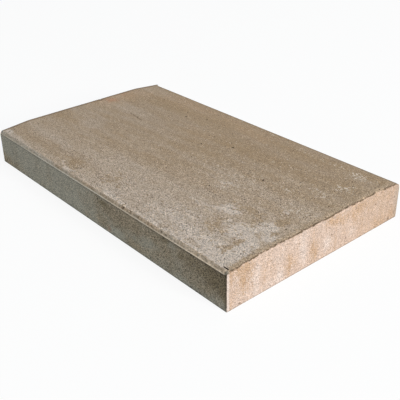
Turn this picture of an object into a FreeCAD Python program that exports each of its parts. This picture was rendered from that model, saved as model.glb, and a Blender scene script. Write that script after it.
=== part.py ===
import FreeCAD, Part
import math
import os

# A wall coping stone, cast in one piece of concrete and lying on its flat bed.
# The origin is at the middle of the bed. X runs along the wall, Y across it and Z up.
# All sizes are in millimetres.

# Overall block
length = 500.0
width = 300.0
edge_height = 46.5

# Ledge and arris that the mould leaves along the top of both long sides
ledge_width = 2.0
arris_width = 2.5
arris_rise = 3.0

# Weathered margins, which fall from the flat crown to both long sides
margin_width = 44.0
margin_fall = 4.0
ridge_radius = 90.0

# Worn edges: across the top of both short ends, and down the four upright corners
end_arris = 1.2
corner_radius = 1.5

# Levels and distances from the middle that follow from those sizes
half_length = length / 2
half_width = width / 2
arris_foot = half_width - ledge_width
arris_top = arris_foot - arris_width
ridge = arris_top - margin_width
margin_foot_height = edge_height + arris_rise
crown_height = margin_foot_height + margin_fall
tolerance = 0.001


def across(y, z):
    """A point of the cross-section, in the plane of the far short end."""
    return FreeCAD.Vector(-half_length, y, z)


def straight_run(points):
    """The straight edges that join points, one after the other."""
    return [Part.LineSegment(a, b).toShape() for a, b in zip(points, points[1:])]


def ridge_points():
    """The eased ridge between margin and crown: its start, middle and end."""
    slope = math.atan2(margin_fall, margin_width)
    tangent = ridge_radius * math.tan(slope / 2)
    centre_y = ridge - tangent
    centre_z = crown_height - ridge_radius
    return [
        across(centre_y + ridge_radius * math.sin(turn), centre_z + ridge_radius * math.cos(turn))
        for turn in (slope, slope / 2, 0.0)
    ]


def mirrored(points):
    """The same points on the other side of the middle, in the opposite order."""
    return [across(-point.y, point.z) for point in reversed(points)]


def section_face():
    """The cross-section: bed, upright sides, ledges, arrises, margins and crown."""
    eased = ridge_points()
    flank = [
        across(half_width, 0.0),
        across(half_width, edge_height),
        across(arris_foot, edge_height),
        across(arris_top, margin_foot_height),
        eased[0],
    ]
    far_eased = mirrored(eased)
    far_flank = mirrored(flank)
    edges = straight_run(flank)
    edges.append(Part.Arc(*eased).toShape())
    edges += straight_run([eased[-1], far_eased[0]])
    edges.append(Part.Arc(*far_eased).toShape())
    edges += straight_run(far_flank)
    edges += straight_run([far_flank[-1], flank[0]])
    return Part.Face(Part.Wire(edges))


def is_worn_end_edge(edge):
    """Tell whether an edge runs over margin, ridge or crown at one of the short ends."""
    box = edge.BoundBox
    at_end = abs(abs(box.Center.x) - half_length) < tolerance and box.XLength < tolerance
    return at_end and box.ZMin > margin_foot_height - tolerance


def cast_block():
    """The section drawn out along the wall, with its top worn off across both ends."""
    block = section_face().extrude(FreeCAD.Vector(length, 0, 0))
    worn_edges = [edge for edge in block.Edges if is_worn_end_edge(edge)]
    return block.makeChamfer(end_arris, worn_edges)


def corner_envelope():
    """An upright prism with the block's plan and its four rounded corners."""
    prism = Part.makeBox(length, width, crown_height, across(-half_width, 0.0))
    upright_edges = [edge for edge in prism.Edges if edge.BoundBox.ZLength > tolerance]
    return prism.makeFillet(corner_radius, upright_edges)


def coping_stone():
    """The whole stone, as one solid."""
    stone = cast_block().common(corner_envelope()).removeSplitter()
    return stone.Solids[0]


os.makedirs("parts", exist_ok=True)
stone = coping_stone()
stone.exportStep("parts/coping_stone.step")
box = stone.BoundBox
print(f"coping_stone: {box.XLength:.2f} x {box.YLength:.2f} x {box.ZLength:.2f} mm, "
      f"{stone.Volume / 1e6:.3f} litres, valid {stone.isValid()}")
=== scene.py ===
# %% [markdown]
# # A wall coping stone
#
# The object is one block of cast concrete that caps a garden wall. Its solid is already there, at
# its real size. This lesson gives it a weathered skin: a fine net of faces with the relief of the
# casting, worn edges and small holes, and then a finish of its own for each kind of face.

# %% Load the solid
import math

import bpy
import numpy as np
from mathutils import Matrix, Vector


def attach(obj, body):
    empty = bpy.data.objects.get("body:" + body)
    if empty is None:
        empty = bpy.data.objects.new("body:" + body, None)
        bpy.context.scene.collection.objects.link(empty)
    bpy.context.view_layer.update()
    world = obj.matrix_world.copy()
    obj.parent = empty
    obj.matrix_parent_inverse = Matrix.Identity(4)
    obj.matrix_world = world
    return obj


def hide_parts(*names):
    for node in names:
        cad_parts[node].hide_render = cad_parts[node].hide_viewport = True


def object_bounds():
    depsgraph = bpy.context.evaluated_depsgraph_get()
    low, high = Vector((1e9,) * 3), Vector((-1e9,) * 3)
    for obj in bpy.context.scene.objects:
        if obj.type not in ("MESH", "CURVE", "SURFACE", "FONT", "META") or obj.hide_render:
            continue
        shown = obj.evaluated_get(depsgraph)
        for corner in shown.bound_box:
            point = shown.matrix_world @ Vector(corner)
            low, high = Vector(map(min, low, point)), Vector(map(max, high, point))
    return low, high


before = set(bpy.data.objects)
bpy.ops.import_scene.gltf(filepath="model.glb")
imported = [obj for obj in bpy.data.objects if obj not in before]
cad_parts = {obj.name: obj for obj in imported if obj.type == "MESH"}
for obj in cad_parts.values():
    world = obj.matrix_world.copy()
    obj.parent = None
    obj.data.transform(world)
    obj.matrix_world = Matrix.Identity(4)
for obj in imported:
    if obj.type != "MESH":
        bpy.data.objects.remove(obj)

cad_low, cad_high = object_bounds()
print("solid from", cad_low, "to", cad_high)

# %% [markdown]
# ## Read the section from the solid
#
# A coping is a section that runs along the wall: upright sides, a narrow ledge and a steep arris
# on top of them, and a margin that rises gently to a flat crown. Its sizes could be typed in
# again, but then the two models could drift apart. So they are read from the corners of the
# solid, on one half and just inside its worn ends.

# %% Heights and distances of the section, in metres
solid_points = [vertex.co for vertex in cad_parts["coping_stone"].data.vertices]
half_length, half_width, crown_height = cad_high
# two places that are closer than a hair count as one
hair = 1e-5
hair_digits = 5
worn_end = 0.0005

edge_height = max(p.z for p in solid_points if p.y > half_width - hair)
arris_foot = min(p.y for p in solid_points if abs(p.z - edge_height) < hair and p.y > 0)
upper_points = {
    (round(p.y, hair_digits), round(p.z, hair_digits))
    for p in solid_points
    if p.z > edge_height + hair and p.y > 0 and abs(p.x) < half_length - worn_end
}
section = [(arris_foot, edge_height)] + sorted(upper_points, reverse=True) + [(0.0, crown_height)]
arris_top = section[1][0]
print("edge height", edge_height, "and section", section)

# %% [markdown]
# ## Block out the stone
#
# The stone starts as a plain box, up to the top of its upright sides. An extruded profile would
# do as well, but a cube that is cut keeps four-sided faces all over, and that makes the fine net
# of a later step even.

# %% A cube at the size of the block
bpy.ops.object.select_all(action="DESELECT")
bpy.ops.mesh.primitive_cube_add(
    size=1,
    location=(0, 0, edge_height / 2),
    scale=(2 * half_length, 2 * half_width, edge_height),
)
stone = bpy.context.object
stone.name = "weathered_stone"
bpy.ops.object.transform_apply(location=True, rotation=True, scale=True)
print("cube of", len(stone.data.polygons), "faces")

# %% [markdown]
# ## Cut it along the section
#
# Each corner of the section is a line that runs the whole length of the stone. Loop cuts would
# give such lines by hand. A bisect does it with a plane at an exact place, right round the block,
# and needs no window. Three cuts crosswise quarter the length, because the subdivide of a later
# step makes at most a hundred cuts at a time.

# %% Cut lengthwise and crosswise


def cut(place, across):
    """Cut right through the stone with a plane."""
    bpy.ops.object.mode_set(mode="EDIT")
    bpy.ops.mesh.select_all(action="SELECT")
    bpy.ops.mesh.bisect(plane_co=place, plane_no=across)
    bpy.ops.object.mode_set(mode="OBJECT")


for row, _ in section[:-1]:
    cut((0, row, 0), (0, 1, 0))
    cut((0, -row, 0), (0, 1, 0))
cut((0, 0, 0), (0, 1, 0))
for quarter_line in (-half_length / 2, 0, half_length / 2):
    cut((quarter_line, 0, 0), (1, 0, 0))
print("cut into", len(stone.data.polygons), "faces")

# %% [markdown]
# ## Lift the rows
#
# The press tool shapes the top, and here its rows of points are lifted to the heights of the
# section. By hand one would select a row and drag it up. The code does the same, but it selects
# by place, so that no point is missed.

# %% Lift each row to its height


def places():
    """The x, y and z of all vertices of the stone, as three arrays."""
    flat = np.empty(len(stone.data.vertices) * 3)
    stone.data.vertices.foreach_get("co", flat)
    return flat.reshape(-1, 3).T


def pick(what, wanted):
    """Select just the vertices, edges or faces that wanted marks, and go on in edit mode."""
    bpy.ops.object.mode_set(mode="EDIT")
    bpy.ops.mesh.select_mode(type=what)
    bpy.ops.mesh.select_all(action="DESELECT")
    bpy.ops.object.mode_set(mode="OBJECT")
    parts = {"VERT": stone.data.vertices, "EDGE": stone.data.edges, "FACE": stone.data.polygons}
    parts[what].foreach_set("select", np.asarray(wanted, bool))
    bpy.ops.object.mode_set(mode="EDIT")


def lift(wanted, height):
    """Move the wanted vertices straight up."""
    pick("VERT", wanted)
    bpy.ops.transform.translate(value=(0, 0, height))
    bpy.ops.object.mode_set(mode="OBJECT")


for row, height in section:
    x, y, z = places()
    lift((z > edge_height - hair) & (np.abs(np.abs(y) - row) < hair), height - edge_height)
print("lifted", len(section), "rows, up to", places()[2].max())

# %% [markdown]
# ## Weave a fine net
#
# The sand in the concrete has grains about two millimetres wide. Faces have to be that small to
# carry its relief. A Subdivision Surface would round the corners off, so the edges are subdivided
# instead, one direction and one row at a time. All edges of a row get the same number of cuts,
# which keeps the rows whole.

# %% Subdivide row by row
grain_step = 0.0016
fewest_steps = 2
nearly_whole = 0.9


def edge_spans():
    """How far each edge runs along x, y and z."""
    ends = np.empty(len(stone.data.edges) * 2, int)
    stone.data.edges.foreach_get("vertices", ends)
    first, last = ends.reshape(-1, 2).T
    corner_places = np.array(places())
    return np.abs(corner_places[:, first] - corner_places[:, last])


def refine(wanted, span):
    """Divide the wanted edges, which are all about span long, into grain steps."""
    pick("EDGE", wanted)
    steps = max(fewest_steps, round(span / grain_step))
    bpy.ops.mesh.subdivide(number_cuts=steps - 1)
    bpy.ops.object.mode_set(mode="OBJECT")


refine(np.abs(edge_spans()[0] - half_length / 2) < hair, half_length / 2)
row_ends = [half_width] + [row for row, _ in section]
for outer, inner in zip(row_ends, row_ends[1:]):
    refine(np.abs(edge_spans()[1] - (outer - inner)) < hair, outer - inner)
refine(edge_spans()[2] > nearly_whole * edge_height, edge_height)
print("net of", len(stone.data.polygons), "faces")

# %% [markdown]
# ## Tell the faces apart
#
# The press tool made the top, the mould walls made the long sides, and the ends show how the mix
# was filled in. Each of these looks different, so each gets a material slot. By hand they would
# be picked one by one. The net is still exact here, so the middle of a face tells its kind.

# %% One material slot for each kind of face
TOP, ARRIS, LEDGE, LONG_SIDE, BUTT_END, BED = range(6)


def face_facts():
    """The middles of all faces as three arrays, and which material slot each face has."""
    middles = np.empty(len(stone.data.polygons) * 3)
    stone.data.polygons.foreach_get("center", middles)
    slots = np.empty(len(stone.data.polygons), int)
    stone.data.polygons.foreach_get("material_index", slots)
    return middles.reshape(-1, 3).T, slots


(x, y, z), slots = face_facts()
slots[:] = TOP
slots[np.abs(y) > arris_top] = ARRIS
slots[np.abs(y) > arris_foot] = LEDGE
slots[np.abs(y) > half_width - hair] = LONG_SIDE
slots[np.abs(x) > half_length - hair] = BUTT_END
slots[z < hair] = BED

finish_names = [
    "pressed_top", "pitted_arris", "worn_ledge",
    "cast_long_side", "filled_butt_end", "plain_bed",
]
finishes = [bpy.data.materials.new(name) for name in finish_names]
for finish in finishes:
    stone.data.materials.append(finish)
stone.data.polygons.foreach_set("material_index", slots)
print({name: int(np.sum(slots == index)) for index, name in enumerate(finish_names)})

# %% [markdown]
# ## Make the bed one flat face
#
# The underside lies in mortar and is never seen, so it needs no net. It could be deleted, but a
# stone without an underside is not a closed shape. Dissolving its faces into one leaves the rim
# as it is and nearly halves the size of the mesh.

# %% Dissolve the bed
pick("FACE", slots == BED)
bpy.ops.mesh.dissolve_faces()
bpy.ops.object.mode_set(mode="OBJECT")
print("after the bed:", len(stone.data.polygons), "faces")

# %% [markdown]
# ## Let the margin run through at the ends
#
# Ledge and arris are the mark of the press tool, and it stops just short of the end walls of the
# mould. So a thin fin of concrete is left standing at each corner, as high as the margin would be
# if it ran on. It could be a piece of its own, but it is one casting with the rest, so the end
# rows of ledge and arris are lifted. At the near corner the fin is longer and slopes down.

# %% Lift the fins
margin_outer, margin_inner = section[1], section[2]
margin_slope = (margin_inner[1] - margin_outer[1]) / (margin_outer[0] - margin_inner[0])
near_fin = 0.0046


def rim_height(y):
    """Height of the rim of an end: the section without ledge and arris."""
    distances, heights = zip(*reversed(section[1:]))
    past_margin = np.maximum(np.abs(y) - arris_top, 0)
    return np.interp(np.abs(y), distances, heights) - margin_slope * past_margin


x, y, z = places()
to_end = half_length - np.abs(x)
upper = (np.abs(y) > arris_top + hair) & (z > edge_height - hair)
near_corner = (to_end < near_fin) & (x > 0) & (y < 0)
fins = upper & ((to_end < hair) | near_corner)
fin_rows = np.round([to_end[fins], np.abs(y[fins])], hair_digits)
for step, row in np.unique(fin_rows, axis=1).T:
    in_row = fins & (np.abs(to_end - step) < hair) & (np.abs(np.abs(y) - row) < hair)
    missing = (1 - step / near_fin) * (rim_height(row) - z[in_row].max())
    lift(in_row, float(missing))
print("fins up to", float(rim_height(half_width)))

# %% [markdown]
# ## A finer net where the edges are worn
#
# Crumbs that break off an edge are smaller than the grain step, so the net gets twice as fine
# along the near rim and the near arris, where they are seen best. The whole stone could be that
# fine, but elsewhere it would only cost faces.

# %% Subdivide the worn strips once more
worn_strip = 0.0045

(x, y, z), slots = face_facts()
near_rim = (x > half_length - worn_strip) & (z > rim_height(y) - worn_strip)
near_arris = ((slots == ARRIS) | (slots == LEDGE)) & (y < 0)
pick("FACE", near_rim | near_arris)
bpy.ops.mesh.subdivide(number_cuts=1)
bpy.ops.object.mode_set(mode="OBJECT")
print("finer edges:", len(stone.data.polygons), "faces")

# %% [markdown]
# ## Ease the upright corners
#
# A casting never leaves the mould with knife edges. A Bevel modifier would round every edge, the
# rims of the holes to come among them, so only the four upright corners are picked and bevelled.

# %% Bevel the upright corners
upright_bevel = 0.0008


def edges_along(marked):
    """Mark the edges of which both ends are marked vertices."""
    ends = np.empty(len(stone.data.edges) * 2, int)
    stone.data.edges.foreach_get("vertices", ends)
    return marked[ends.reshape(-1, 2)].all(axis=1)


x, y, z = places()
at_end = np.abs(x) > half_length - hair
at_side = np.abs(y) > half_width - hair
pick("EDGE", edges_along(at_end & at_side))
bpy.ops.mesh.bevel(offset=upright_bevel, segments=2, affect="EDGES")
bpy.ops.object.mode_set(mode="OBJECT")
print("eased corners:", len(stone.data.polygons), "faces")

# %% [markdown]
# ## Pinholes in the top
#
# Air that stays in the mix leaves small holes when the stone is pressed. Dark dots in the finish
# would look flat from the side, so a few faces of the net are inset as one patch and pushed in.
# The camera sees the top at a low angle and yet the holes look round, so on the stone they are
# ovals, longer in the direction away from the near corner.

# %% Press the pinholes in: x, y and width, in millimetres
millimetre = 0.001
pinholes = [
    (-96.5, 86.5, 2.3), (-65, 101.5, 2.1), (35, 61, 2.9), (-5, 37.5, 2.3),
    (132.5, 21.5, 2.7), (-86, 60, 1.6), (97.5, -38.5, 1.8), (-177, 107, 1.6),
]
pinhole_depth = 0.0022
hole_wall = 0.00025
oval_stretch = 1.8
oval_axis = Vector((-0.76, 0.65))


def press_in(wanted, depth):
    """Inset the wanted faces as one patch and push the patch in."""
    pick("FACE", wanted)
    bpy.ops.mesh.inset(thickness=hole_wall, depth=-depth)
    bpy.ops.object.mode_set(mode="OBJECT")


def press_pinhole(away, width, allowed):
    """Press in the allowed faces that are within the hole, and at least the nearest one."""
    reach = max(width * millimetre / 2, away[allowed].min() + hair)
    press_in(allowed & (away < reach), pinhole_depth)


for hole_x, hole_y, width in pinholes:
    (x, y, z), slots = face_facts()
    from_x, from_y = x - hole_x * millimetre, y - hole_y * millimetre
    lengthwise = from_x * oval_axis.x + from_y * oval_axis.y
    crosswise = from_x * oval_axis.y - from_y * oval_axis.x
    press_pinhole(np.hypot(lengthwise / oval_stretch, crosswise), width, slots == TOP)
print(len(pinholes), "pinholes")

# %% [markdown]
# ## A slit and a scratch
#
# A short, deep slit lies close to the near corner, and a long, shallow scratch runs along the far
# half of the top. A Boolean could carve them, but it would break up the net. Pressing in the faces
# that lie in a narrow strip keeps it whole.

# %% Press the slit and the scratch in
slit_from, slit_to = (237.0, -144.4), (245.4, -142.3)
slit_depth = 0.0026
scratch_from, scratch_to = (-168, 31.5), (-130, 26.5)
scratch_width, scratch_depth = 1.6, 0.00050

(x, y, z), slots = face_facts()
low_x, low_y = np.array(slit_from) * millimetre
high_x, high_y = np.array(slit_to) * millimetre
in_slit = (x > low_x) & (x < high_x) & (y > low_y) & (y < high_y)
press_in((slots == TOP) & in_slit, slit_depth)

(x, y, z), slots = face_facts()
low_x, low_y = np.array(scratch_from) * millimetre
high_x, high_y = np.array(scratch_to) * millimetre
line_y = np.interp(x, (low_x, high_x), (low_y, high_y))
near_line = np.abs(y - line_y) < scratch_width * millimetre / 2
in_scratch = (x > low_x) & (x < high_x) & near_line
press_in((slots == TOP) & in_scratch, scratch_depth)
print("slit of", int(np.sum(in_slit)), "faces, scratch of", int(np.sum(in_scratch)), "faces")

# %% [markdown]
# ## Pits in the sides and the arris
#
# Single larger pits show on the long side, on the near end and along the arris. They are pressed
# in as the pinholes are. These are round, and each is given by its x, y and z, because the faces
# of the arris lie at a slant.

# %% Press the pits in
pits = [((-156, -150, 17), 3.0), ((250, -131, 3), 2.4), ((250, 133, 3), 3.0), ((250, 18, 27), 2.0)]
arris_pits = [(62, 2.4), (76, 1.4), (93, 1.0), (112, 1.4), (137, 1.0), (174, 1.0)]
arris_pit_y, arris_pit_z = -146.6, 48.2
pits += [((pit_x, arris_pit_y, arris_pit_z), width) for pit_x, width in arris_pits]

for pit, width in pits:
    middles, slots = face_facts()
    away = np.linalg.norm(middles - millimetre * np.array(pit)[:, None], axis=0)
    press_pinhole(away, width, np.full(len(slots), True))
print(len(pits), "pits")

# %% [markdown]
# ## Pores all over
#
# Between the larger holes the skin is dotted with pores, each about as wide as a grain. They are
# too many to place by hand, so single faces are drawn at random and pushed in. The draw has a
# fixed seed, so that each run gives the same stone.

# %% Draw the pores and push them in
pore_draw = np.random.default_rng(7)
pores_on = {TOP: 150, LONG_SIDE: 70, BUTT_END: 24}
pore_wall = 0.0003
pore_depth = 0.0009

_, slots = face_facts()
pore_faces = np.zeros(len(slots), bool)
for slot, count in pores_on.items():
    pore_faces[pore_draw.choice(np.flatnonzero(slots == slot), count, replace=False)] = True
pick("FACE", pore_faces)
bpy.ops.mesh.inset(thickness=pore_wall, depth=-pore_depth, use_individual=True)
bpy.ops.object.mode_set(mode="OBJECT")
print("with its holes:", len(stone.data.polygons), "faces")

# %% [markdown]
# ## Chip the rims
#
# The near rim has lost a few larger crumbs, and the far end has a nick. Cutting them out would
# leave hard outlines. Moving a corner with proportional editing drags its neighbours along, as
# pushing into soft clay does, and that gives a chip that runs out softly.

# %% Push corners in: place, reach and push, in millimetres
chips = [
    ((-250, 30, 53.5), 2.0, (0.6, 0, -0.6)),
    ((250, 112, 52.6), 6.0, (-2.2, 0, -1.8)),
    ((250, 103, 53.3), 4.0, (-1.2, 0, -1.4)),
    ((250, 78, 53.5), 4.0, (-0.8, 0, -1.6)),
    ((250, 150, 48.5), 6.0, (-0.4, -1.2, -1.4)),
    ((-250, -150, 49.1), 4.0, (0.3, 0.8, -1.6)),
    ((250, -60, 53.5), 3.5, (-0.9, 0, -1.2)),
    ((250, -96, 53.5), 3.0, (-0.8, 0, -1.1)),
]
for chip, reach, push in chips:
    away = np.linalg.norm(np.array(places()) - millimetre * np.array(chip)[:, None], axis=0)
    pick("VERT", away < away.min() + hair)
    bpy.ops.transform.translate(
        value=millimetre * Vector(push),
        use_proportional_edit=True,
        proportional_edit_falloff="SMOOTH",
        proportional_size=reach * millimetre,
    )
    bpy.ops.object.mode_set(mode="OBJECT")
print(len(chips), "chips")

# %% [markdown]
# ## Where the stone is worn
#
# The skin waves slowly and sand stands out of it, the rims of the ends have lost crumbs, and so
# has the arris. Weights could be painted by hand for these three. Here they are worked out from
# the place of each point, so that they fade evenly and are the same in each run.

# %% Shares of the skin, the rims and the arris
bed_clearance = 0.002
rim_reach = 0.0030
arris_reach = 0.0022
arris_plateau, arris_fall = 1.6, 1.4
wear_along, wear_there = (-0.20, 0.08, 0.19, 0.21), (0.5, 1.0, 1.0, 0.5)
arris_brow, least_on_brow = 0.0008, 0.25
ledge_clearance = 0.0003
fin_length, fin_overlap = 0.0045, 0.0005

x, y, z = places()
skin_share = np.clip(z / bed_clearance, 0, 1)
to_rim = np.hypot(half_length - np.abs(x), rim_height(y) - z)
rim_share = np.clip(1 - to_rim / rim_reach, 0, 1)
off_middle = np.abs(np.abs(y) - (arris_foot + arris_top) / 2)
arris_share = np.clip(arris_plateau - arris_fall * off_middle / arris_reach, 0, 1)
arris_share *= np.interp(x, wear_along, wear_there)
arris_share *= np.clip((np.abs(y) - arris_top) / arris_brow, least_on_brow, 1)
arris_share[(z < edge_height + ledge_clearance) | (np.abs(y) < arris_top - hair)] = 0
on_fin = (np.abs(y) > arris_top - fin_overlap) & (half_length - np.abs(x) < fin_length)
for share in (skin_share, rim_share, arris_share):
    share[on_fin] = 0
print("worn rims:", int(np.sum(rim_share > 0)), "points, arris:", int(np.sum(arris_share > 0)))

# %% [markdown]
# ## Hand the shares to Blender
#
# A modifier learns where it works, and how strongly, from a vertex group. Each share becomes such
# a group, rounded to hundredths, because points with the same share are then added in one go. The
# far rim and the far arris are hidden: the one stays whole, and the other is hardly worn.

# %% Three vertex groups
share_digits = 2
far_arris = 0.1


def mark_out(name, shares):
    """Make a vertex group that holds each vertex by its share."""
    group = stone.vertex_groups.new(name=name)
    rounded = np.round(shares, share_digits)
    for share in np.unique(rounded[rounded > 0]):
        group.add(np.flatnonzero(rounded == share).tolist(), float(share), "REPLACE")
    print(name, "holds", int(np.sum(rounded > 0)), "vertices")


mark_out("skin", skin_share)
mark_out("rims", rim_share * (x > 0))
mark_out("arris", arris_share * np.where(y < 0, 1, far_arris))

# %% [markdown]
# ## Relief of sand and wear
#
# Sculpting every crumb would take days, and bump in a finish leaves the outline straight. So each
# kind of wear is a Displace modifier with a noise of its own size. With a middle level of one the
# modifiers only take away, so the stone never grows out of its measured box.

# %% Five reliefs, applied one by one
smooth_below = math.radians(33)


def relief(group, noise_size, depth, levels=(0.0, 1.0), layers=2, direction="NORMAL"):
    """Sink the skin by noise, fully at the first of two noise levels and not at all at the other."""
    pattern = bpy.data.textures.new(group + "_noise", "CLOUDS")
    pattern.noise_scale = noise_size
    pattern.noise_depth = layers
    pattern.use_color_ramp = True
    low, high = pattern.color_ramp.elements
    low.position, high.position = levels
    low.color, high.color = (0, 0, 0, 1), (1, 1, 1, 1)
    sink = stone.modifiers.new(group + "_relief", "DISPLACE")
    sink.texture = pattern
    sink.texture_coords = "LOCAL"
    sink.vertex_group = group
    sink.direction = direction
    sink.mid_level = 1.0
    sink.strength = depth
    bpy.ops.object.modifier_apply(modifier=sink.name)


bpy.ops.object.select_all(action="DESELECT")
stone.select_set(True)
bpy.context.view_layer.objects.active = stone
relief("skin", noise_size=0.080, depth=0.0002)
relief("skin", noise_size=0.0024, depth=0.00008, layers=1)
before_wear = np.array(places())
relief("rims", noise_size=0.0100, depth=0.0012, levels=(0.40, 0.52), direction="Z")
relief("rims", noise_size=0.0036, depth=0.0020, levels=(0.36, 0.52), direction="X")
relief("arris", noise_size=0.0032, depth=0.0009, levels=(0.30, 0.43))
worn_off = np.linalg.norm(np.array(places()) - before_wear, axis=0)
bpy.ops.object.shade_smooth_by_angle(angle=smooth_below)
print("deepest wear", round(float(worn_off.max()) / millimetre, 2), "mm")

# %% [markdown]
# ## Remember where the wear is
#
# Holes and what has broken away get painted shade, partly with dirt, and a line of dirt and painted
# shadow follows the rims. A finish can't see how far a modifier moved the skin or how deep a hole
# is.
# It could be guessed with an ambient occlusion node, but attributes of the mesh are exact, and the
# finishes read them later.

# %% Three attributes
wear_depth = 0.0014
rim_line_reach = 0.0026
shallowest_hole, deep_hole = 0.0006, 0.0009
clear_of_edges = 0.0040

x, y, z = places()
in_from_side, in_from_end = half_width - np.abs(y), half_length - np.abs(x)
inside = np.min([rim_height(y) - z, in_from_side, in_from_end], axis=0)
near_edges = (np.abs(y) > arris_top - hair) & (z > edge_height - clear_of_edges)
near_edges |= to_rim < clear_of_edges
near_edges |= np.maximum(in_from_side, in_from_end) < clear_of_edges
hollow = np.clip((inside - shallowest_hole) / (deep_hole - shallowest_hole), 0, 1)
hollow[near_edges | (z < hair)] = 0
marks = {
    "worn": np.clip(worn_off / wear_depth, 0, 1),
    "rim": np.clip(1 - to_rim / rim_line_reach, 0, 1),
    "hollow": hollow,
}
for name, levels in marks.items():
    attribute = stone.data.attributes.new(name, "FLOAT", "POINT")
    attribute.data.foreach_set("value", levels.astype(np.float32))
    print(name, "marks", int(np.sum(levels > 0)), "vertices")
print("triangles:", sum(len(face.vertices) - 2 for face in stone.data.polygons))

# %% [markdown]
# ## Begin with the pressed top
#
# The top is shaded on purpose. Brown, ochre and grey mixes are filled in together, so bands of
# them run along the stone, and a pale lime bloom lies over the near half in ragged patches. An
# image texture would fix all this at one scale, so the finish is made of nodes, one small pattern
# over the other. All of them read Object coordinates, so they keep their real size in metres and
# stay with the stone.

# %% An empty finish
tree = None


def begin(finish):
    """Empty a finish, and make it the one that the helpers add nodes to."""
    global tree
    finish.use_nodes = True
    tree = finish.node_tree
    tree.nodes.clear()


def add(type_name, inputs, **settings):
    """Add a node with its settings; an input is given a value or joined to another node."""
    node = tree.nodes.new(type_name)
    for name, value in settings.items():
        setattr(node, name, value)
    for name, value in inputs.items():
        if isinstance(value, bpy.types.NodeSocket):
            tree.links.new(value, node.inputs[name])
        else:
            node.inputs[name].default_value = value
    return node


def begin_on_stone(finish):
    """Begin a finish of the stone; returns its coordinates together, and then one by one."""
    begin(finish)
    place = add("ShaderNodeTexCoord", {}).outputs["Object"]
    return place, *add("ShaderNodeSeparateXYZ", {0: place}).outputs


place, x_along, y_across, _ = begin_on_stone(finishes[TOP])
print("the top begins with", len(tree.nodes), "nodes")

# %% [markdown]
# ## Noises of the top
#
# Concrete shows patterns of many sizes at once: long bands, clouds as wide as a thumb, flakes and
# sand. One noise with many layers has them all, but they can't be steered apart. So each size is a
# noise of its own, and a Mapping node draws the larger ones out along the stone.

# %% Five noises, from bands to sand


def stretched(place, along=1.0, up=1.0):
    """Coordinates in which patterns come out longer along the stone or upwards."""
    inputs = {"Vector": place, "Scale": (along, 1.0, up)}
    return add("ShaderNodeMapping", inputs, vector_type="TEXTURE").outputs[0]


def noise(place, size, layers=2.0, roughness=0.5):
    """Soft noise between 0 and 1 with features about size wide."""
    inputs = {"Vector": place, "Scale": 1 / size, "Detail": layers, "Roughness": roughness}
    return add("ShaderNodeTexNoise", inputs).outputs[0]


bands = noise(stretched(place, along=6.0), 0.022, layers=5.0, roughness=0.62)
clouds = noise(stretched(place, along=1.6), 0.018, layers=6.0, roughness=0.70)
flakes = noise(stretched(place, along=1.8), 0.0060, layers=4.0, roughness=0.70)
mottle = noise(place, 0.0030, layers=3.0, roughness=0.75)
sand = noise(place, 0.0013, layers=1.0)
print("with its noises:", len(tree.nodes), "nodes")

# %% [markdown]
# ## Grains
#
# Close up the skin is sand, each grain with a tone of its own. Noise is too soft for that. Voronoi
# cells are as crisp as grains, but their tones meet in hard lines, so each tone fades to a middle
# one towards the rim of its cell.

# %% Rounded grains from Voronoi cells
middle_tone = 0.5
grain_rim, grain_core = 0.95, 0.65


def sums(operation, first, second, third=0.0):
    """A Math node, for adding, multiplying and the like."""
    return add("ShaderNodeMath", {0: first, 1: second, 2: third}, operation=operation).outputs[0]


def fade(value, start, end, low=0.0, high=1.0):
    """Go smoothly from low to high while value goes from start to end."""
    inputs = {"Value": value, "From Min": start, "From Max": end, "To Min": low, "To Max": high}
    return add("ShaderNodeMapRange", inputs, interpolation_type="SMOOTHSTEP").outputs[0]


def grains(place, size):
    """Grains about size wide: two random tones of each, and the distance from its middle."""
    cells = add("ShaderNodeTexVoronoi", {"Vector": place, "Scale": 1 / size})
    tones = add("ShaderNodeSeparateColor", {0: cells.outputs["Color"]}).outputs
    core = fade(cells.outputs["Distance"], grain_rim, grain_core)
    rounded = [
        sums("MULTIPLY_ADD", sums("SUBTRACT", tone, middle_tone), core, middle_tone)
        for tone in tones[:2]
    ]
    return *rounded, cells.outputs["Distance"]


grain_tone, grain_lime, grain_middle = grains(place, 0.00075)
print("with its grains:", len(tree.nodes), "nodes")

# %% [markdown]
# ## Ovals with ragged outlines
#
# Stains and mixes lie in certain places on the stone. Painted vertex colours would be as coarse as
# the net, so such a place is a soft oval, given in a list: a round Gradient node that a Mapping
# node moves and stretches. Noise that is added before the oval is cut off gives it the ragged
# outline of a real stain. Seen from above an oval is flat, and downwards it runs right through.

# %% Helpers for ovals on the top
crown_level = 50
right_through = 900


def weighed(*parts):
    """Add up patterns, each given with its weight and, if it isn't a half, its middle level."""
    total = 0.0
    for pattern, weight, *level in parts:
        from_middle = sums("SUBTRACT", pattern, level[0] if level else middle_tone)
        total = sums("MULTIPLY_ADD", from_middle, weight, total)
    return total


def patches(place, ovals):
    """Add up soft ovals in millimetres: middle, reach to the rim, and amount at the middle."""
    total = 0.0
    for middle, reach, amount in ovals:
        inputs = {"Vector": place}
        inputs["Location"] = millimetre * Vector(middle)
        inputs["Scale"] = millimetre * Vector(reach)
        oval = add("ShaderNodeMapping", inputs, vector_type="TEXTURE").outputs[0]
        ball = add("ShaderNodeTexGradient", {"Vector": oval}, gradient_type="SPHERICAL")
        total = sums("MULTIPLY_ADD", ball.outputs["Fac"], amount, total)
    return total


def ragged(place, ovals, *parts):
    """Ovals with patterns added, so that their outline breaks up when it is cut off."""
    return sums("ADD", weighed(*parts), patches(place, ovals))


def on_top(*ovals):
    """Ovals that are given along and across the top."""
    return [
        ((*middle, crown_level), (*reach, right_through), amount)
        for middle, reach, amount in ovals
    ]


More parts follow.
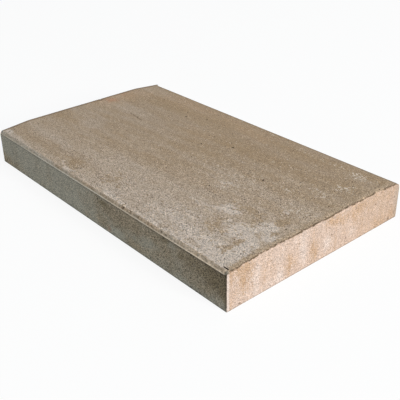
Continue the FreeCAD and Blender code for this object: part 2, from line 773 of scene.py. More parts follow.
grey_on_top = on_top(
    ((-140, 30), (130, 70), 0.50), ((-172, -34), (28, 26), 0.80), ((-60, 75), (60, 26), 0.20),
)
grey_share = fade(ragged(place, grey_on_top, (bands, 1.8)), -0.30, 0.70)
print("with", len(grey_on_top), "grey ovals:", len(tree.nodes), "nodes")

# %% [markdown]
# ## Brown, taupe and ochre mixes
#
# The base of the top is brown, with taupe bands and an ochre cast towards the far edges. A colour
# ramp on one noise could give all three, but then they would always lie in the same order. So the
# colours are mixed one after the other, each by a share of its own.

# %% Base colours of the top
brown = (0.385, 0.271, 0.166)
taupe = (0.425, 0.322, 0.232)
ochre = (0.475, 0.320, 0.200)


def blend(share, first, second):
    """Mix two colours."""
    colours = [c if isinstance(c, bpy.types.NodeSocket) else (*c, 1.0) for c in (first, second)]
    inputs = {0: share, 6: colours[0], 7: colours[1]}
    return add("ShaderNodeMix", inputs, data_type="RGBA").outputs[2]


ochre_on_top = on_top(
    ((-190, 112), (95, 55), 0.22), ((-110, 125), (130, 32), 0.55), ((20, 118), (90, 30), 0.50),
    ((120, 92), (170, 50), 0.12), ((-40, 60), (60, 30), 0.35), ((-245, 60), (60, 80), 0.95),
    ((60, -45), (150, 16), 0.30),
)
ochre_share = fade(ragged(place, ochre_on_top, (clouds, 1.0)), 0.05, 1.00)
colour = blend(grey_share, brown, taupe)
colour = blend(ochre_share, colour, ochre)
print("with its mixes:", len(tree.nodes), "nodes")

# %% [markdown]
# ## A haze of lime
#
# Lime that comes out of the concrete dries as a thin, pale haze. It gets stronger towards the near
# corner. A plain gradient would look like light and shade, so the bands and clouds break it up,
# and a few wide ovals add to it or, with a minus, take from it.

# %% Haze over the top
lime = (0.637, 0.541, 0.468)
haze_on_top = on_top(
    ((-60, -92), (210, 40), 0.14), ((-200, 30), (80, 130), 0.06), ((-235, -100), (50, 50), -0.04),
    ((-205, -144), (60, 7), 0.26), ((10, -128), (80, 26), 0.11), ((100, -142), (150, 12), 0.05),
    ((125, -108), (80, 50), 0.13), ((60, -100), (70, 40), 0.04), ((-215, 132), (95, 42), 0.46),
    ((-190, 15), (50, 22), 0.10), ((-65, -40), (50, 30), 0.08), ((-170, 35), (90, 28), 0.15),
    ((-245, 80), (40, 100), 0.12), ((110, 92), (150, 50), -0.28), ((-95, 62), (70, 28), -0.22),
    ((232, -62), (10, 8), -0.20),
)
lime_slope = weighed((x_along, 0.5 / half_length, 0.0), (y_across, -1 / half_width, 0.0))
far_end = fade(x_along, -0.17, -0.26, 0.0, 0.05)
haze = ragged(
    place, haze_on_top,
    (lime_slope, 0.25, -0.85), (bands, 0.5), (clouds, 0.35), (flakes, 0.3), (far_end, 1.0, 0.0),
)
colour = blend(fade(haze, 0.0, 1.0), colour, lime)
print("with its haze:", len(tree.nodes), "nodes")

# %% [markdown]
# ## The lime bloom
#
# Where more lime came out it lies as a film with crisp, torn outlines, most of it round the near
# corner. It is the same colour as the haze, and made the same way. What makes the difference is
# the cut: this one goes from nothing to full within about a tenth of the pattern's range.

# %% Film of lime
film_on_top = on_top(
    ((160, -61), (26, 13), 0.75), ((219, -57), (17, 17), 0.75), ((236, -73), (12, 11), 0.70),
    ((200, -84), (32, 21), 0.75), ((230, -115), (14, 36), 0.90), ((203, -128), (34, 14), 0.65),
    ((130, -118), (54, 36), 0.16), ((125, -74), (32, 18), 0.34), ((195, -142), (60, 3), 0.35),
    ((20, -141), (20, 7), 0.40), ((-91, -134), (15, 8), 0.45), ((-66, -141), (20, 6), 0.45),
    ((28, -95), (15, 18), 0.32), ((-240, -141), (20, 10), 0.60), ((115, -20), (34, 24), 0.40),
    ((209, -14), (16, 18), 0.65), ((-215, -12), (40, 9), 0.25), ((45, 3), (34, 14), 0.25),
    ((210, 118), (22, 10), 0.22), ((217, 80), (18, 12), 0.30), ((212, 47), (18, 12), 0.24),
    ((172, 24), (26, 9), 0.35),
)
thickest_film = 0.92

film = ragged(place, film_on_top, (clouds, 1.4), (flakes, 1.0), (mottle, 0.4), (grain_lime, 0.2))
film = sums("ADD", film, fade(lime_slope, 0.40, 1.30, 0.0, 0.40))
film_share = fade(film, 0.35, 0.47, 0.0, thickest_film)
colour = blend(film_share, colour, lime)
print("with its bloom:", len(tree.nodes), "nodes")

# %% [markdown]
# ## Gaps in the bloom
#
# Along the near rim the bloom is rubbed off to a tan fringe, and brown veins run through the rest.
# The bloom could be left out there, but its outline and the veins cross freely on the stone, so
# the bare colours are laid over it, in patterns of their own.

# %% Tan fringe and brown veins
fringe_tan = (0.475, 0.350, 0.238)
vein_brown = (0.370, 0.258, 0.152)
veins_on_top = on_top(
    ((198, -62), (14, 20), 0.24), ((182, -46), (34, 17), 0.32), ((173, -96), (28, 26), 0.30),
    ((218, -110), (6, 24), 0.46), ((212, -121), (11, 6), 0.40), ((232, -62), (9, 7), 0.30),
    ((222, -37), (11, 14), 0.80), ((-82, -124), (38, 24), 0.36), ((-6, -112), (38, 27), 0.19),
    ((130, -42), (120, 9), 0.22), ((30, -55), (120, 9), 0.20), ((185, -146.2), (70, 2.2), 0.50),
)
fringe = weighed((flakes, 2.2), (clouds, 1.0), (mottle, 0.6))
fringe = sums("ADD", fade(x_along, half_length - 0.0160, half_length - 0.0020), fringe)
colour = blend(fade(fringe, 0.40, 0.80, 0.0, 0.95), colour, fringe_tan)
veins = ragged(place, veins_on_top, (flakes, 1.4), (mottle, 0.8), (clouds, 0.5))
veins = sums("ADD", veins, fade(lime_slope, 0.20, 1.10, 0.0, 0.14))
colour = blend(fade(veins, 0.26, 0.36, 0.0, 0.78), colour, vein_brown)
print("with its veins:", len(tree.nodes), "nodes")

# %% [markdown]
# ## A touch of rust
#
# Iron in the sand has stained the far end in two places. A stain soaks in, so it gets the soft cut
# of the haze and not the crisp one of the bloom.

# %% Rust stains
rust = (0.500, 0.265, 0.160)
rust_on_top = on_top(((-233, 41), (22, 20), 0.85), ((-241, 72), (12, 20), 0.6))
rusty = ragged(place, rust_on_top, (flakes, 1.4))
colour = blend(fade(rusty, 0.25, 0.80, 0.0, 0.7), colour, rust)
print("with its rust:", len(tree.nodes), "nodes")

# %% [markdown]
# ## Tones of the grains
#
# Each grain makes the colour under it a little lighter or darker, and a few are nearly black or
# cream. One even contrast would look printed. The near corner is worn open, so the contrast rises
# towards it, and it also changes with the clouds and under the film.

# %% Sand on the top
grain_shadow = (0.190, 0.130, 0.078)
cream_grain = (0.640, 0.535, 0.420)


def toned(colour, tone):
    """Make a colour lighter or darker by a factor."""
    inputs = {0: colour, "Scale": tone}
    return add("ShaderNodeVectorMath", inputs, operation="SCALE").outputs[0]


wear_slope = weighed((x_along, 0.7 / half_length, 0.0), (y_across, -0.7 / half_width, 0.0))
open_share = fade(wear_slope, -0.9, 1.1)
dark_share = fade(grain_tone, 0.28, 0.12)
dark_share = sums("MULTIPLY", dark_share, fade(open_share, 0.0, 1.0, 0.35, 0.75))
dark_share = sums("MULTIPLY", dark_share, fade(film_share, 0.0, thickest_film, 1.0, 0.45))
pale_share = fade(grain_tone, 0.86, 0.95)
pale_share = sums("MULTIPLY", pale_share, fade(open_share, 0.0, 1.0, 0.40, 0.55))
colour = blend(dark_share, colour, grain_shadow)
colour = blend(pale_share, colour, cream_grain)
grain_contrast = fade(open_share, 0.0, 1.0, 0.66, 1.04)
grain_contrast = sums("MULTIPLY", grain_contrast, fade(clouds, 0.35, 0.65, 0.75, 1.25))
grain_factor = weighed((grain_tone, grain_contrast), (sand, 0.10))
colour = toned(colour, sums("ADD", grain_factor, 1.0))
print("with its sand:", len(tree.nodes), "nodes")

# %% [markdown]
# ## White flecks
#
# Small splashes of nearly white lime lie in loose swarms. Placing each one would take long, so the
# ovals only say where a swarm is, and the peaks of a short-stroked noise become its flecks.

# %% Flecks of lime
fleck_lime = (0.800, 0.705, 0.610)
swarm_strength = 0.28
flecks_on_top = on_top(
    ((210, 118), (30, 14), 0.60), ((217, 80), (22, 16), 0.60), ((210, 47), (26, 14), 0.46),
    ((165, 24), (60, 18), 0.30), ((145, 75), (36, 16), 0.30), ((160, 127), (90, 9), 0.50),
    ((30, 139), (50, 9), 0.35), ((215, -8), (36, 24), 0.40), ((120, -10), (70, 40), 0.25),
    ((50, 5), (70, 22), 0.16), ((-10, 85), (20, 14), 0.12), ((110, 60), (220, 110), 0.10),
)
strokes = noise(stretched(place, along=1.3), 0.0026, layers=2.0, roughness=0.7)
flecks = sums("MULTIPLY_ADD", patches(place, flecks_on_top), swarm_strength, strokes)
colour = blend(fade(flecks, 0.68, 0.74, 0.0, 0.92), colour, fleck_lime)
print("with its flecks:", len(tree.nodes), "nodes")

# %% [markdown]
# ## The near rim
#
# Where crumbs have gone the rim is darkened as painted shade, a line of brown dirt and painted
# shadow follows it, and the worst places are nearly black with dirt and painted shade. The edge over
# the arris is rubbed instead, so it is paler. The first three could be drawn by place, but the
# attributes of the mesh know the broken line of the real relief.

# %% Dirt, painted shade and wear along the near edges
rim_brown = (0.250, 0.178, 0.108)
crumb_dirt_and_shade = (0.120, 0.084, 0.048)


def mark(name):
    """The level of one of the attributes that the mesh carries."""
    return add("ShaderNodeAttribute", {}, attribute_name=name).outputs["Fac"]


# painted shade: the worn places of the near rim, whose slopes face the lamp, are darkened
worn_rim_shade = fade(x_along, half_length - 0.0140, half_length - 0.0080)
worn_rim_shade = sums("MULTIPLY", mark("worn"), worn_rim_shade)
colour = toned(colour, fade(worn_rim_shade, 0.02, 0.30, 1.0, 0.62))
rubbed = fade(x_along, -0.12, 0.02, 1.02, 1.11)
rubbed = sums("MULTIPLY", rubbed, fade(x_along, 0.12, 0.17, 1.0, 0.90))
colour = toned(colour, fade(y_across, -0.1400, -0.1450, 1.0, rubbed))
# a line of brown dirt and painted shadow along the rim, nearly black in its worst places
colour = blend(fade(mark("rim"), 0.20, 0.80, 0.0, 0.7), colour, rim_brown)
rim_line = sums("ADD", mark("rim"), weighed((sand, 0.6), (flakes, 2.0), (clouds, 1.6)))
colour = blend(fade(rim_line, 0.35, 0.75, 0.0, 0.85), colour, crumb_dirt_and_shade)
print("with its near rim:", len(tree.nodes), "nodes")

# %% [markdown]
# ## Far edges, scratch and holes
#
# Painted shade darkens the two far edges, which turn away from the light, and the nick of the far
# end and the scratch are darkened too. The holes get the darkest painted shade of all. The lines are
# gradients, the scratch is three long ovals in a row, and the holes come from their attribute.
# Roughness and bump then close the finish.

# %% Dark lines, and the end of the top's finish
painted_hole_shade = (0.075, 0.056, 0.038)
nick_and_scratch = on_top(
    ((-248, 29), (9, 9), 1.6),
    ((-161, 30.6), (11, 1.5), 1.3), ((-149, 29), (11, 1.5), 1.3), ((-137, 27.4), (11, 1.5), 1.3),
)
low_gloss = 0.25


def close(colour, roughness, height, depth):
    """Finish a material: join colour, roughness and a bump of the given depth to its shader."""
    bump = add("ShaderNodeBump", {"Height": height, "Distance": depth, "Strength": 1.0})
    shader = add("ShaderNodeBsdfPrincipled", {
        "Base Color": colour,
        "Roughness": roughness,
        "Normal": bump.outputs[0],
        "Specular IOR Level": low_gloss,
    })
    add("ShaderNodeOutputMaterial", {"Surface": shader.outputs[0]})
    print("finish of", len(tree.nodes), "nodes")


# painted shade along the two far edges; the nick and the scratch are darkened too
edge_shade_and_marks = fade(y_across, arris_top - 0.0050, arris_top + 0.0005)
edge_shade_and_marks = sums("ADD", edge_shade_and_marks, weighed((flakes, 0.8)))
far_end_shade = fade(x_along, 0.0075 - half_length, 0.0015 - half_length)
edge_shade_and_marks = sums("MAXIMUM", edge_shade_and_marks, far_end_shade)
edge_shade_and_marks = sums("MAXIMUM", edge_shade_and_marks, patches(place, nick_and_scratch))
colour = blend(fade(edge_shade_and_marks, 0.25, 0.75, 0.0, 0.65), colour, grain_shadow)
# painted shade in the holes
colour = blend(fade(mark("hollow"), 0.0, 0.25), colour, painted_hole_shade)
roughness = fade(clouds, 0.3, 0.7, 0.82, 0.95)
close(colour, roughness, weighed((sand, 0.6), (grain_middle, -0.8)), 0.0005)

# %% [markdown]
# ## Colours of the arris
#
# The steep arris sheds the water from the top. It is greyer at the far end and paler at the near
# one. It could share the finish of the top, but it is narrow and always seen at a slant, so it
# needs coarser grains and fewer patterns.

# %% Brown, grey and pale arris
arris_brown = (0.425, 0.318, 0.222)
arris_grey = (0.500, 0.445, 0.375)
arris_pale = (0.640, 0.515, 0.395)

place, x_along, _, z_up = begin_on_stone(finishes[ARRIS])
clouds = noise(place, 0.030, layers=4.0)
crumbs = noise(stretched(place, along=2.0), 0.0036, layers=3.0, roughness=0.7)
sand = noise(place, 0.0022, layers=2.0, roughness=0.6)
grain_tone, _, grain_middle = grains(place, 0.0014)
grey_share = sums("ADD", weighed((clouds, 1.4)), fade(x_along, -0.22, 0.06, 0.52, 0.15))
colour = blend(fade(grey_share, 0.0, 0.8), arris_brown, arris_grey)
to_near_end = fade(x_along, 0.12, 0.22)
pale_share = weighed((crumbs, 2.0), (clouds, 0.6), (to_near_end, 0.35, 0.0))
colour = blend(fade(pale_share, 0.10, 0.45, 0.0, 0.85), colour, arris_pale)
print("the arris begins with", len(tree.nodes), "nodes")

# %% [markdown]
# ## Pits and crest of the arris
#
# Crumbs have broken out of the arris, and what they left is darkened with brown dirt and painted
# shade. The relief has those hollows already, so the worn attribute darkens them, and ovals darken
# the six single pits. The crest is rubbed pale. At the far corner a fin stands, in the same finish,
# and it is painted dark grey as painted shade.

# %% Pits, crest and fin
pit_dirt_and_shade = (0.160, 0.110, 0.070)
far_fin_shade = (0.230, 0.215, 0.190)
pit_spots = [(62, 4, 1.30), (77, 3, 0.55), (93, 2.6, 0.70), (112, 2.6, 0.70), (137, 2.6, 0.60)]
pit_spots += [(174, 2.6, 0.50)]
pits_on_arris = [((spot, -147, 48), (reach, 9, 9), amount) for spot, reach, amount in pit_spots]

# brown dirt and painted shade in the broken places and the pits
pitted = ragged(place, pits_on_arris, (crumbs, -1.4), (sand, -0.9), (mark("worn"), 0.5, 0.0))
pit_share = fade(x_along, -0.02, 0.06, 0.45, 0.64)
pit_share = sums("MULTIPLY", pit_share, fade(x_along, 0.15, 0.19, 1.0, 0.55))
colour = blend(fade(pitted, 0.15, 0.70, 0.0, pit_share), colour, pit_dirt_and_shade)
colour = toned(colour, fade(grain_tone, 0.0, 1.0, 0.72, 1.28))
foot = fade(x_along, 0.0, 0.06, 0.92, 0.97)
crest = fade(x_along, -0.15, 0.08, 1.20, 1.34)
crest = sums("MULTIPLY", crest, fade(x_along, 0.13, 0.19, 1.0, 0.84))
colour = toned(colour, fade(z_up, edge_height, margin_outer[1], foot, crest))
# painted shade: the far fin is darkened to grey
far_fin = fade(x_along, 0.0030 - half_length, 0.0012 - half_length)
colour = blend(far_fin, colour, far_fin_shade)
roughness = fade(clouds, 0.3, 0.7, 0.84, 0.95)
close(colour, roughness, weighed((sand, 1.0), (grain_middle, -0.6)), 0.0006)

# %% [markdown]
# ## The worn ledge
#
# The ledge is a strip of two millimetres, rubbed pale at the near end and grey-green further away.
# Its inner corner, at the foot of the arris, is darkened as painted shade. It is too narrow for
# grains of its own, and two noises are enough.

# %% Finish of the ledge
ledge_green = (0.460, 0.421, 0.358)
ledge_pale = (0.520, 0.440, 0.350)
ledge_brown = (0.400, 0.320, 0.230)

place, x_along, y_across, _ = begin_on_stone(finishes[LEDGE])
clouds = noise(stretched(place, along=3.0), 0.008, layers=3.0)
sand = noise(place, 0.0020, layers=2.0)
off_axis = sums("ABSOLUTE", y_across, 0.0)
colour = blend(fade(x_along, -0.05, 0.20), ledge_green, ledge_pale)
colour = blend(fade(clouds, 0.52, 0.34, 0.0, 0.55), colour, ledge_brown)
colour = toned(colour, fade(sand, 0.3, 0.7, 0.80, 1.16))
# painted shade in the inner corner, at the foot of the arris
colour = toned(colour, fade(off_axis, arris_foot, arris_foot + 0.0008, 0.72, 1.0))
# painted shade: the far fin is darkened to grey
far_fin = fade(x_along, 0.0030 - half_length, 0.0012 - half_length)
colour = blend(far_fin, colour, far_fin_shade)
further_along = fade(x_along, -0.19, -0.11, 1.0, 1.05)
colour = toned(colour, fade(x_along, 0.12, 0.22, further_along, 1.26))
outer_shade = fade(x_along, 0.12, 0.20, 1.0, 0.40)
colour = toned(colour, fade(off_axis, half_width - 0.0010, half_width, 1.0, outer_shade))
close(colour, fade(clouds, 0.3, 0.7, 0.84, 0.95), sand, 0.0004)

# %% [markdown]
# ## Grey and brown of the long sides
#
# The mould wall leaves the long sides smooth and dense. They are grey-green where the skin of
# cement is whole, and brown near the near end, where sand shows through. As on the top, noises and
# ovals share the work. Ovals with a minus keep the grey in places.

# %% Noises and brown patches of the long sides
side_grey = (0.537, 0.480, 0.382)
side_brown = (0.442, 0.346, 0.238)
near_side = -150


def on_side(*ovals):
    """Ovals that are given along and up the long side."""
    return [
        ((along, near_side, up), (reach, right_through, reach_up), amount)
        for (along, up), (reach, reach_up), amount in ovals
    ]


brown_on_side = on_side(
    ((245, 34), (80, 40), 0.52), ((150, 30), (190, 50), 0.60), ((50, 36), (100, 36), 0.50),
    ((95, 7), (40, 10), 0.25), ((15, 9), (26, 14), 0.50), ((-245, 2), (70, 20), 0.90),
    ((-120, 25), (30, 18), 0.22), ((-20, 5), (16, 8), 0.40), ((53, 8), (24, 8), -0.75),
    ((119, 25), (22, 11), -0.60), ((154, 41), (14, 6), -0.25), ((85, 18), (42, 11), -0.50),
    ((-65, 12), (44, 14), -0.40), ((205, 3), (70, 9), -0.24), ((190, 10), (40, 14), 0.30),
    ((205, 44), (60, 8), 0.40),
)
place, x_along, _, z_up = begin_on_stone(finishes[LONG_SIDE])
clouds = noise(stretched(place, up=1.5), 0.024, layers=5.0, roughness=0.6)
spots = noise(place, 0.0080, layers=3.0, roughness=0.5)
streaks = noise(stretched(place, up=6.0), 0.0060, layers=2.0)
sand = noise(place, 0.0013, layers=1.0)
brown_share = ragged(place, brown_on_side, (clouds, 1.1), (spots, 0.3), (streaks, 0.4))
brown_share = fade(brown_share, -0.15, 0.80)
colour = blend(brown_share, side_grey, side_brown)
print("the long sides begin with", len(tree.nodes), "nodes")

# %% [markdown]
# ## Stains of the long sides
#
# Damp has left olive stains, most of them high up and at the near corner, and iron has left two
# reddish ones at the foot. They are laid over the brown as separate patterns, because their colours
# are no mix of the two below.

# %% Olive and red stains
side_olive = (0.270, 0.205, 0.120)
side_red = (0.430, 0.270, 0.180)
olive_on_side = on_side(
    ((25, 39), (26, 10), 1.00), ((172, 32), (14, 9), 0.60), ((190, 27), (12, 7), 0.50),
    ((232, 34), (50, 30), 1.10), ((249, 25), (18, 34), 0.60), ((95, 34), (18, 8), 0.30),
    ((148, 42), (26, 9), 0.85), ((190, 38), (22, 12), 0.55), ((-114, 26), (10, 5), 0.35),
    ((-92, 21), (12, 6), 0.35), ((-106, 38), (10, 6), 0.30),
)
red_on_side = on_side(((33, 6), (9, 8), 0.9), ((-208, 8), (16, 6), 0.6))
stain = ragged(place, olive_on_side, (spots, 0.8), (clouds, 0.5))
colour = blend(fade(stain, 0.15, 0.95, 0.0, 0.85), colour, side_olive)
redness = ragged(place, red_on_side, (spots, 0.8))
colour = blend(fade(redness, 0.30, 0.85, 0.0, 0.7), colour, side_red)
print("with their stains:", len(tree.nodes), "nodes")

# %% [markdown]
# ## Sand in the long sides
#
# The grains are finer here than on the top, because cement paste ran to the mould wall. They show
# more where the skin is worn to brown, so their contrast follows the brown share, and the darkest
# of them become specks.

# %% Grains and specks of the long sides
side_dark = (0.215, 0.165, 0.112)
darkest_grain = 0.15

grain_tone, _, grain_middle = grains(place, 0.0006)
speckle = weighed((grain_tone, 1.0), (sand, 0.3))
speck_share = fade(speckle, -0.26, -0.46, 0.0, 0.60)
speck_share = sums("MULTIPLY", speck_share, fade(brown_share, 0.0, 1.0, 0.35, 1.0))
colour = blend(speck_share, colour, side_dark)
grain_contrast = fade(brown_share, 0.0, 1.0, 1.3, 2.2)
grain_factor = sums("ADD", weighed((grain_tone, grain_contrast)), 1.0)
colour = toned(colour, sums("MAXIMUM", grain_factor, darkest_grain))
print("with their sand:", len(tree.nodes), "nodes")

# %% [markdown]
# ## Lines along the long sides
#
# The side gets a little paler towards its foot and darker towards the near end. A dark line of
# painted shade runs under the ledge and along the foot, and the side is darkened down the near
# corner. Such lines follow the edges exactly, so plain gradients of the height and the length make
# them.

# %% Tones and dark lines of the long sides
colour = toned(colour, fade(z_up, 0.026, 0.004, 1.0, 1.13))
colour = toned(colour, fade(z_up, 0.032, 0.042, 1.0, 0.98))
colour = toned(colour, fade(x_along, 0.13, 0.22, 1.0, 0.86))
# painted shade under the ledge and along the foot; the near corner is darkened
ledge_shade = fade(x_along, 0.10, 0.20, 0.76, 0.58)
under_ledge_shade = fade(z_up, edge_height - 0.0045, edge_height - 0.0012, 1.0, ledge_shade)
foot_shade = fade(z_up, 0.0003, 0.0022, 0.62, 1.0)
at_corner = fade(x_along, half_length - 0.0040, half_length - 0.0012, 1.0, 0.55)
colour = toned(colour, sums("MULTIPLY", sums("MULTIPLY", under_ledge_shade, foot_shade), at_corner))
# painted shade in the holes
colour = blend(mark("hollow"), colour, painted_hole_shade)
roughness = fade(clouds, 0.3, 0.7, 0.78, 0.92)
close(colour, roughness, weighed((sand, 0.8), (grain_middle, -0.5)), 0.0003)

# %% [markdown]
# ## Streaks of the butt ends
#
# At the ends the mould was filled from above, and the mixes ran down the wall: tan streaks stand
# between pale, limy ones. A noise that is stretched upright gives such streaks, and ovals put the
# strongest ones where they are seen. The ovals reach only a little way into the stone, so the
# hidden end has streaks of its own.

# %% Tan and lime streaks
end_cream = (0.520, 0.400, 0.328)
end_tan = (0.430, 0.287, 0.180)
end_lime = (0.585, 0.488, 0.432)
end_warm = (0.490, 0.346, 0.240)
near_end, into_end = 250, 40


def on_end(*ovals):
    """Ovals that are given across and up the near end."""
    return [((near_end, *middle), (into_end, *reach), amount) for middle, reach, amount in ovals]


tan_on_end = on_end(
    ((-124, 30), (17, 32), 0.66), ((-112, 46), (16, 12), 0.35), ((-92, 24), (12, 18), 0.12),
    ((-50, 19), (15, 19), 0.50), ((-11, 15), (12, 22), 0.56), ((14, 47), (16, 10), 0.58),
    ((36, 42), (28, 12), 0.50), ((64, 38), (15, 24), 0.45), ((84, 45), (34, 12), 0.36),
    ((105, 22), (70, 50), 0.16), ((113, 5), (16, 14), 0.60), ((132, 42), (20, 14), 0.30),
    ((140, 10), (12, 14), 0.55), ((-146, 46), (24, 14), 0.40),
)
lime_on_end = on_end(
    ((-103, 36), (6, 18), 0.35), ((-75, 34), (24, 14), 0.25), ((-109, 22), (10, 24), 0.55),
    ((-69, 8), (10, 14), 0.85), ((-100, 3), (50, 14), 0.42), ((-30, 28), (10, 34), 0.60),
    ((-48, 46), (30, 12), 0.32), ((12, 17), (15, 17), 0.66), ((58, 14), (8, 12), 0.60),
    ((-149, 24), (4, 80), 1.20),
)
place, _, y_across, z_up = begin_on_stone(finishes[BUTT_END])
streaks = noise(stretched(place, up=4.0), 0.010, layers=3.0, roughness=0.6)
clouds = noise(place, 0.010, layers=5.0, roughness=0.68)
grain_tone, grain_lime, grain_middle = grains(place, 0.0008)
tan = ragged(place, tan_on_end, (streaks, 1.0), (clouds, 1.1))
tan_share = fade(sums("ADD", tan, weighed((grain_lime, 0.5))), -0.05, 0.70)
limy = ragged(place, lime_on_end, (streaks, -1.0), (clouds, 1.1))
lime_share = fade(sums("ADD", limy, weighed((grain_lime, -0.5))), 0.00, 0.70)
colour = blend(tan_share, end_cream, end_tan)
colour = blend(lime_share, colour, end_lime)
colour = blend(fade(y_across, 0.02, 0.10, 0.0, 0.34), colour, end_warm)
print("the butt ends begin with", len(tree.nodes), "nodes")

# %% [markdown]
# ## Sand and edges of the butt ends
#
# The ends are open-grained. Painted shade darkens their foot and the holes, brown dirt and painted
# shadow darken the chips of the rim, and painted shade greys and darkens the rounded far corner.
# Gradients give the straight lines, and the attributes of the mesh give the broken ones.

# %% Grains, corner and rim of the butt ends
end_speck_and_shade = (0.250, 0.172, 0.115)
corner_shade_grey = (0.430, 0.380, 0.320)

sand = noise(place, 0.0013, layers=1.0)
speckle = weighed((grain_tone, 1.0), (sand, 0.3))
colour = blend(fade(speckle, -0.30, -0.50, 0.0, 0.55), colour, end_speck_and_shade)
colour = toned(colour, fade(grain_tone, 0.0, 1.0, 0.73, 1.36))
# painted shade in the holes
colour = blend(mark("hollow"), colour, end_speck_and_shade)
# painted shade along the foot
colour = toned(colour, fade(z_up, 0.0003, 0.0022, 0.72, 1.0))
colour = toned(colour, fade(y_across, 0.03, 0.15, 1.0, 0.92))
# painted shade: the rounded far corner turns away from the light, so it is greyed and darkened
rounded_corner_shade = fade(y_across, half_width - 0.0130, half_width - 0.0010)
colour = blend(sums("MULTIPLY", rounded_corner_shade, 0.35), colour, corner_shade_grey)
colour = toned(colour, fade(rounded_corner_shade, 0.0, 1.0, 1.0, 0.88))
# brown dirt and painted shadow in the chips and along the rim
rim_line = sums("ADD", mark("rim"), weighed((sand, 1.0), (clouds, 1.2)))
rim_dirt_and_shade = fade(rim_line, 0.45, 0.80, 0.0, 0.8)
worn_dirt_and_shade = sums("MAXIMUM", fade(mark("worn"), 0.40, 1.0, 0.0, 0.7), rim_dirt_and_shade)
colour = blend(worn_dirt_and_shade, colour, end_speck_and_shade)
roughness = fade(clouds, 0.3, 0.7, 0.84, 0.95)
close(colour, roughness, weighed((sand, 0.8), (grain_middle, -0.8)), 0.0007)

# %% [markdown]
# ## The bed
#
# The underside is plain grey-brown concrete, cast on a board. It is seen only if the stone is
# turned over, so two noises are enough.

# %% Finish of the bed
bed_grey = (0.44, 0.37, 0.29)
bed_brown = (0.36, 0.28, 0.20)

place, *_ = begin_on_stone(finishes[BED])
clouds = noise(place, 0.030, layers=4.0, roughness=0.6)
sand = noise(place, 0.0026, layers=2.0, roughness=0.6)
colour = blend(fade(clouds, 0.3, 0.7), bed_brown, bed_grey)
colour = toned(colour, fade(sand, 0.3, 0.7, 0.82, 1.16))
close(colour, fade(clouds, 0.3, 0.7, 0.85, 0.95), sand, 0.0006)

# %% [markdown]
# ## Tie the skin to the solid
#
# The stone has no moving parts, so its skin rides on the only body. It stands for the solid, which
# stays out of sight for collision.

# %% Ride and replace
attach(stone, "root")
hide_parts("coping_stone")
print("skin rides on root and replaces coping_stone")

# %% [markdown]
# ## Floor
#
# The floor is pale, and most of what the camera sees of it is plain white, so the stone stands
# free as in a catalogue. More light would make it white too, but would bleach the stone. So a
# white glow is mixed in for rays that look at the floor, and the share that still takes light
# keeps the shadow. For light that bounces back at the stone the floor is an ordinary grey.

# %% A floor that looks white and keeps the shadow
floor_side = 14.0
glow_share = 0.88
bounce_grey = (0.55, 0.55, 0.55)
seen_grey = (0.95, 0.95, 0.95)


def looking_rays():
    """1 for rays that look at something, straight, in a gloss or through glass, and else 0."""
    rays = add("ShaderNodeLightPath", {}).outputs
    looking = sums("MAXIMUM", rays["Is Camera Ray"], rays["Is Glossy Ray"])
    return sums("MAXIMUM", looking, rays["Is Transmission Ray"])


bpy.ops.object.select_all(action="DESELECT")
bpy.ops.mesh.primitive_plane_add(size=floor_side, location=(0, 0, 0))
floor = bpy.context.object
floor.name = "studio_floor"

floor_paint = bpy.data.materials.new("studio_floor_paint")
floor.data.materials.append(floor_paint)
begin(floor_paint)
seen = looking_rays()
white_share = sums("MULTIPLY", seen, glow_share)
matt = add("ShaderNodeBsdfDiffuse", {"Color": blend(seen, bounce_grey, seen_grey)})
white = add("ShaderNodeEmission", {"Color": (1, 1, 1, 1), "Strength": 1.0})
surface = add("ShaderNodeMixShader", {0: white_share, 1: matt.outputs[0], 2: white.outputs[0]})
add("ShaderNodeOutputMaterial", {"Surface": surface.outputs[0]})
print("floor", floor_side, "m wide")

# %% [markdown]
# ## World
#
# The room is a weak, cool light from all around, which fills the shaded long side. An image of a
# sky would do that as well, but it would have to be loaded. As with the floor, rays that look into
# the room see white.

# %% A cool, weak world that looks white
room_colour = (0.76, 0.91, 1.0, 1)
room_strength = 0.34

world = bpy.data.worlds.new("studio_world")
bpy.context.scene.world = world
begin(world)
seen = looking_rays()
room = add("ShaderNodeBackground", {"Color": room_colour, "Strength": room_strength})
white = add("ShaderNodeBackground", {"Color": (1, 1, 1, 1), "Strength": 1.0})
surface = add("ShaderNodeMixShader", {0: seen, 1: room.outputs[0], 2: white.outputs[0]})
add("ShaderNodeOutputWorld", {"Surface": surface.outputs[0]})
print("room light of strength", room_strength)

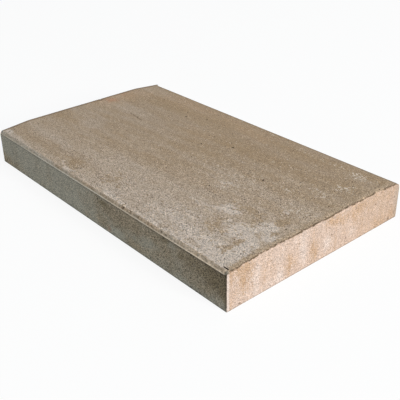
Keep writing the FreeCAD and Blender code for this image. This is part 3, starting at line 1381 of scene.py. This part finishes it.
# %% [markdown]
# ## One large lamp
#
# The near end is twice as bright as the top, and the long side lies in shade. So the main light is
# low and comes square on to the end. A sun lamp would have the same direction, but a hard shadow.
# A large area lamp far away keeps the top even and the shadow soft.

# %% Softbox
lamp_azimuth = math.radians(95)
lamp_elevation = math.radians(26)
lamp_distance = 9.0
lamp_side = 3.6
lamp_power = 1080
lamp_colour = (1.0, 0.965, 0.93)


def outwards(azimuth, elevation):
    """The direction from the stone to something at these angles."""
    return Vector((
        math.sin(azimuth) * math.cos(elevation),
        -math.cos(azimuth) * math.cos(elevation),
        math.sin(elevation),
    ))


lamp_out = outwards(lamp_azimuth, lamp_elevation)
lamp = bpy.data.lights.new("end_softbox", "AREA")
lamp.size = lamp_side
lamp.energy = lamp_power
lamp.color = lamp_colour
softbox = bpy.data.objects.new("end_softbox", lamp)
softbox.location = lamp_out * lamp_distance
softbox.rotation_mode = "QUATERNION"
softbox.rotation_quaternion = (-lamp_out).to_track_quat("-Z", "Y")
bpy.context.scene.collection.objects.link(softbox)
print("softbox at", softbox.location)

# %% [markdown]
# ## Camera
#
# The camera stands a little above the near corner, so that the top, a long side and an end show.
# It could be aimed by eye, but its place, turn and lens come from fitting the outline of the stone,
# so that the edges lie where they should.

# %% Camera
camera_place = Vector((0.68456, -0.55651, 0.46803))
camera_azimuth = math.radians(49.455)
camera_pitch = math.radians(29.086)
camera_roll = math.radians(0.896)
camera_lens = 63.356
sensor_width = 36.0

view_back = outwards(camera_azimuth, camera_pitch)
camera = bpy.data.cameras.new("studio_camera")
camera.sensor_width = sensor_width
camera.lens = camera_lens
viewer = bpy.data.objects.new("studio_camera", camera)
level_turn = (-view_back).to_track_quat("-Z", "Y").to_matrix().to_4x4()
roll_turn = Matrix.Rotation(-camera_roll, 4, "Z")
viewer.matrix_world = Matrix.Translation(camera_place) @ level_turn @ roll_turn
bpy.context.scene.collection.objects.link(viewer)
bpy.context.scene.camera = viewer
bpy.context.scene.view_settings.view_transform = "Standard"
print("camera at", camera_place, "with a lens of", camera_lens, "mm")
